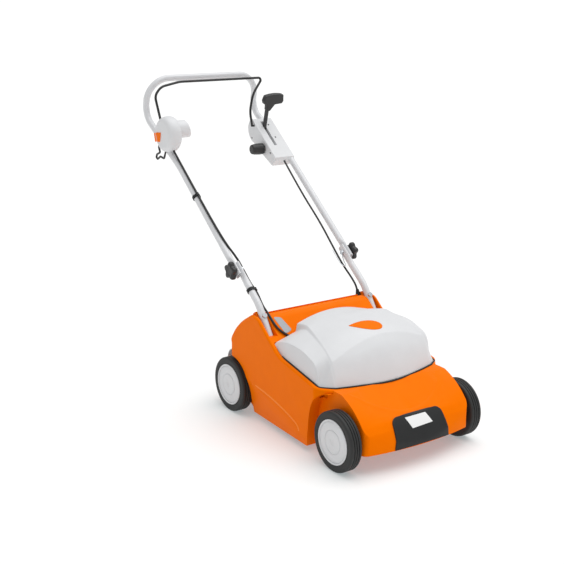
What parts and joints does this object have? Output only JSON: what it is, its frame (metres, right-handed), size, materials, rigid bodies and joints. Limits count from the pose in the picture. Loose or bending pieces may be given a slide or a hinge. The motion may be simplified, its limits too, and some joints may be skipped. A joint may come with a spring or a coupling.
{
  "type": "electric lawn scarifier",
  "caption": "Walk-behind electric lawn scarifier: moulded deck with bladed drum and motor hood on wheels, depth lever with cable, folding tube handle with switch bail and mains inlet.",
  "frame": {"origin": "middle of the overall box, on the ground", "axes": "front towards -Y, operator's left towards +X, up +Z; +Y is the longest extent and +X the shortest"},
  "size_m": [0.564, 1.3942, 1.1645],
  "materials": {
    "orange_plastic": "satin moulded",
    "black_plastic": "fine grain",
    "grey_plastic": "satin moulded",
    "tube_paint": "powder coat",
    "black_rod": "gloss coat",
    "tyre_rubber": "grooved",
    "steel": "zinc plated",
    "motor_aluminium": "cast",
    "bush_plastic": "moulded",
    "cable_rubber": "smooth",
    "flap_plastic": "moulded",
    "pin_brass": "plain"
  },
  "bodies": {
    "chassis": {"deck": "orange_plastic", "front_panel": "black_plastic", "motor_hood": "grey_plastic", "hood_badge": "orange_plastic", "lower_tube_right": "tube_paint", "lower_tube_left": "tube_paint", "tube_bolts": "steel", "fold_bolts": "steel", "rear_axle": "steel", "rear_axle_clips": "steel", "crank_bushes": "bush_plastic", "drum_bearings": "steel", "motor_case": "motor_aluminium", "motor_bracket": "steel", "drive_belt": "cable_rubber", "cable_boot": "black_plastic", "bowden_cable": "cable_rubber", "power_cable": "cable_rubber", "cable_clip_lower": "black_plastic", "bowden_wire": "steel", "flap_rod": "steel"},
    "crank": {"crank_axle": "steel", "front_axle_clips": "steel"},
    "wheel_front_right": {"tyre_front_right": "tyre_rubber", "rim_front_right": "black_plastic", "hub_cap_front_right": "grey_plastic"},
    "wheel_front_left": {"tyre_front_left": "tyre_rubber", "rim_front_left": "black_plastic", "hub_cap_front_left": "grey_plastic"},
    "wheel_rear_right": {"tyre_rear_right": "tyre_rubber", "rim_rear_right": "black_plastic", "hub_cap_rear_right": "grey_plastic"},
    "wheel_rear_left": {"tyre_rear_left": "tyre_rubber", "rim_rear_left": "black_plastic", "hub_cap_rear_left": "grey_plastic"},
    "drum": {"drum_shaft": "steel", "blades": "steel", "blade_spacers": "steel", "drum_pulley": "steel"},
    "rotor": {"motor_shaft": "steel", "motor_pulley": "steel", "cooling_fan": "black_plastic"},
    "flap": {"rear_flap": "flap_plastic"},
    "handle": {"handlebar": "tube_paint", "switch_box": "grey_plastic", "mains_inlet": "grey_plastic", "inlet_pins": "pin_brass", "cord_hook": "black_plastic", "lever_box": "grey_plastic", "lever_box_screws": "steel", "cable_clip_upper": "black_plastic"},
    "bail": {"switch_bail": "black_rod"},
    "button": {"start_button": "orange_plastic"},
    "lever": {"depth_lever": "black_plastic", "lever_grip": "black_plastic"},
    "knob": {"depth_knob": "black_plastic"},
    "star_right": {"star_knob_right": "black_plastic"},
    "star_left": {"star_knob_left": "black_plastic"}
  },
  "joints": [
    {"name": "depth_crank", "type": "hinge", "parent": "chassis", "child": "crank", "pos_m": [0, -0.5693, 0.14475], "axis": [1, 0, 0], "range_deg": [0, 62]},
    {"name": "wheel_front_right_spin", "type": "hinge", "parent": "crank", "child": "wheel_front_right", "pos_m": [-0.257, -0.574, 0.1], "axis": [1, 0, 0], "continuous": true},
    {"name": "wheel_front_left_spin", "type": "hinge", "parent": "crank", "child": "wheel_front_left", "pos_m": [0.257, -0.574, 0.1], "axis": [1, 0, 0], "continuous": true},
    {"name": "wheel_rear_right_spin", "type": "hinge", "parent": "chassis", "child": "wheel_rear_right", "pos_m": [-0.257, 0.05, 0.1], "axis": [1, 0, 0], "continuous": true},
    {"name": "wheel_rear_left_spin", "type": "hinge", "parent": "chassis", "child": "wheel_rear_left", "pos_m": [0.257, 0.05, 0.1], "axis": [1, 0, 0], "continuous": true},
    {"name": "drum_spin", "type": "hinge", "parent": "chassis", "child": "drum", "pos_m": [0, -0.216, 0.085], "axis": [1, 0, 0], "continuous": true},
    {"name": "rotor_spin", "type": "hinge", "parent": "chassis", "child": "rotor", "pos_m": [0, -0.372, 0.258], "axis": [1, 0, 0], "continuous": true},
    {"name": "flap_swing", "type": "hinge", "parent": "chassis", "child": "flap", "pos_m": [0, 0.084, 0.208], "axis": [1, 0, 0], "range_deg": [0, 60]},
    {"name": "handle_fold", "type": "hinge", "parent": "chassis", "child": "handle", "pos_m": [0, 0.037, 0.527], "axis": [1, 0, 0], "range_deg": [0, 138], "deforming": ["bowden_cable", "power_cable"]},
    {"name": "bail_squeeze", "type": "hinge", "parent": "handle", "child": "bail", "pos_m": [0, 0.556, 0.9555], "axis": [1, 0, 0], "range_deg": [-11, 0], "stiffness_Nm_per_rad": 1.6, "springref_deg": 22.92},
    {"name": "start_press", "type": "slide", "parent": "handle", "child": "button", "axis": [0, -0.97, 0.243], "range_m": [0, 0.004], "stiffness_N_per_m": 400, "springref_m": -0.003},
    {"name": "depth_lever_swing", "type": "hinge", "parent": "handle", "child": "lever", "pos_m": [0.205, 0.55336, 0.89209], "axis": [1, 0, 0], "range_deg": [0, 70]},
    {"name": "depth_knob_turn", "type": "hinge", "parent": "handle", "child": "knob", "pos_m": [0.14, 0.49214, 0.87073], "axis": [1, 0, 0], "range_deg": [0, 270]},
    {"name": "star_right_turn", "type": "hinge", "parent": "chassis", "child": "star_right", "pos_m": [-0.267, 0.037, 0.527], "axis": [1, 0, 0], "continuous": true},
    {"name": "star_left_turn", "type": "hinge", "parent": "chassis", "child": "star_left", "pos_m": [0.267, 0.037, 0.527], "axis": [1, 0, 0], "continuous": true}
  ],
  "couplings": [
    {"joint": "rotor_spin", "follows": "drum_spin", "ratio": 2.25},
    {"joint": "depth_lever_swing", "follows": "depth_crank", "ratio": 1.129}
  ]
}
